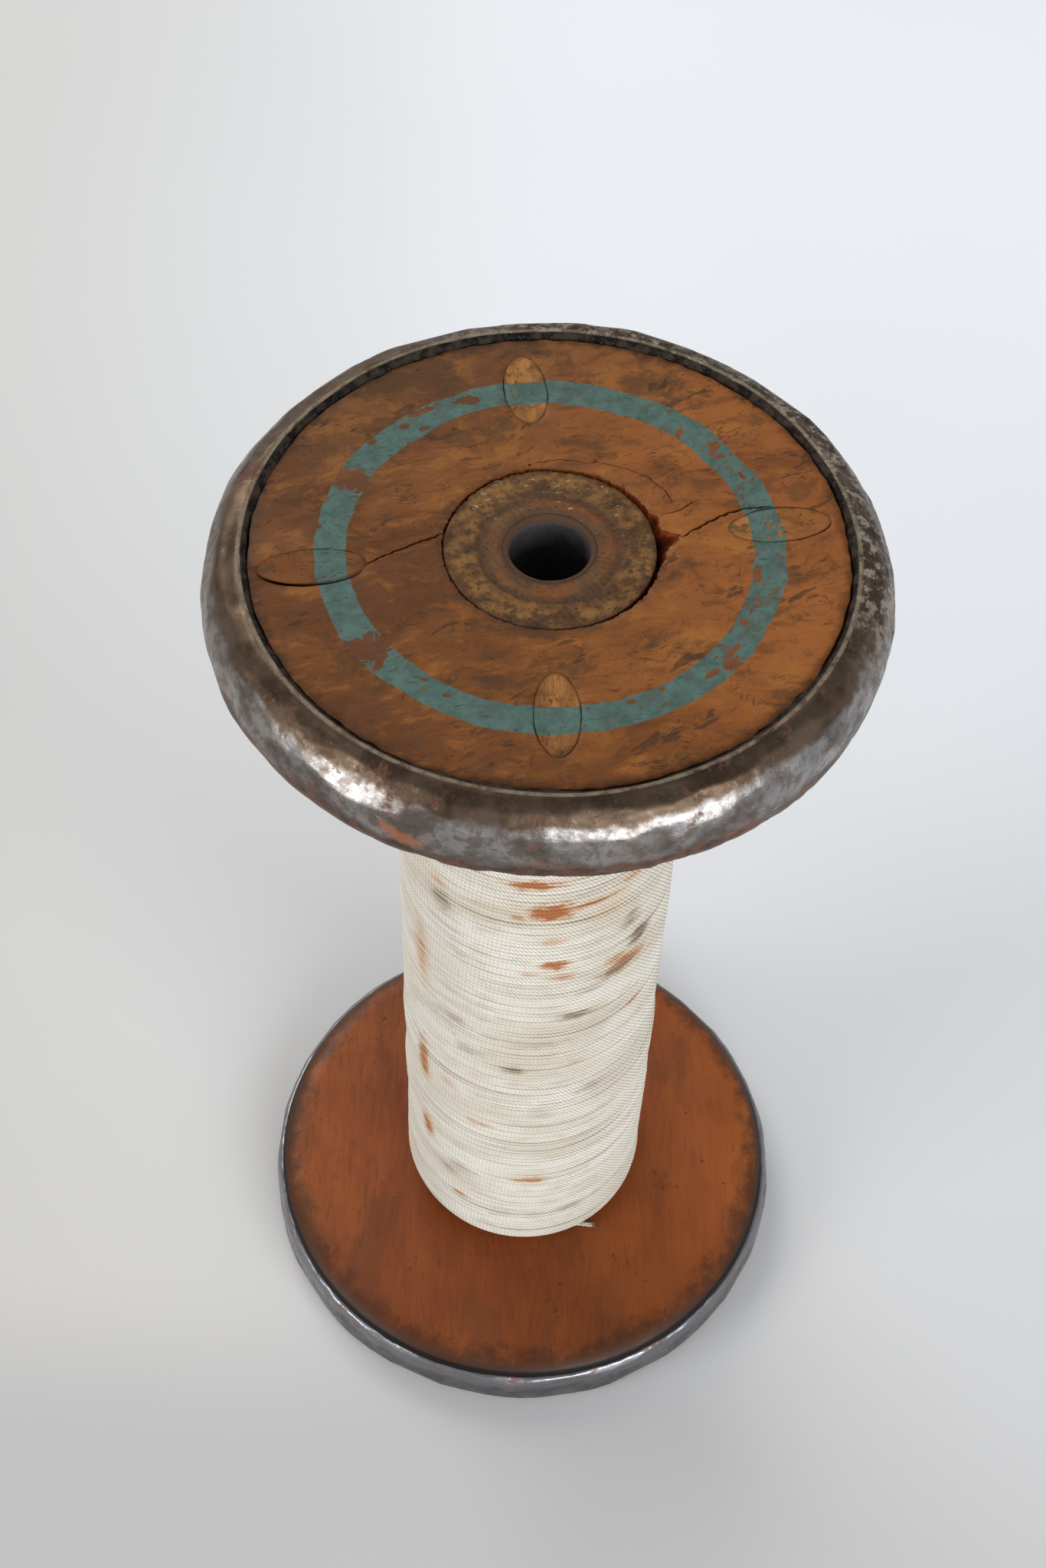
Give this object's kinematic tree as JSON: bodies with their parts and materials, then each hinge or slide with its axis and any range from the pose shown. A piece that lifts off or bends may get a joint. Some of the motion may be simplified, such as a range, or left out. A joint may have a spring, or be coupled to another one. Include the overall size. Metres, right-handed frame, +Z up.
{
  "type": "spool of thread",
  "caption": "Turned wooden mill spool with laminated, steel-rimmed heads held by slanted dowels, a bushed bore, and a winding of white cord with a short loose end.",
  "frame": {"origin": "on the spool's axis, at the plane that its lower rim stands on", "axes": "+Z up the spool's axis from the lower head to the upper head; the loose cord end lies over the lower head on the -Y side and points along +X"},
  "size_m": [0.14, 0.14, 0.2685],
  "materials": {
    "head_wood": "aged, oiled and stained",
    "barrel_wood": "aged end grain with dark stains",
    "dowel_wood": "pale hardwood, slightly worn",
    "rim_steel": "worn, dented and rusty",
    "bush_steel": "dark and worn",
    "cord": "white twisted cotton with rust stains"
  },
  "bodies": {
    "spool": {"barrel": "barrel_wood", "upper_outer_ply": "head_wood", "upper_middle_ply": "head_wood", "upper_inner_ply": "head_wood", "upper_steel_rim": "rim_steel", "upper_locking_dowels": "dowel_wood", "upper_bore_bush": "bush_steel", "lower_outer_ply": "head_wood", "lower_middle_ply": "head_wood", "lower_inner_ply": "head_wood", "lower_steel_rim": "rim_steel", "lower_locking_dowels": "dowel_wood", "lower_bore_bush": "bush_steel", "cord_winding": "cord"},
    "loose_end": {"loose_cord_end": "cord"}
  },
  "joints": [
    {"name": "loose_end_swing", "type": "hinge", "parent": "spool", "child": "loose_end", "pos_m": [0.0154, -0.02485, 0.01675], "axis": [0, 0, 1], "range_deg": [-60, 20]}
  ]
}
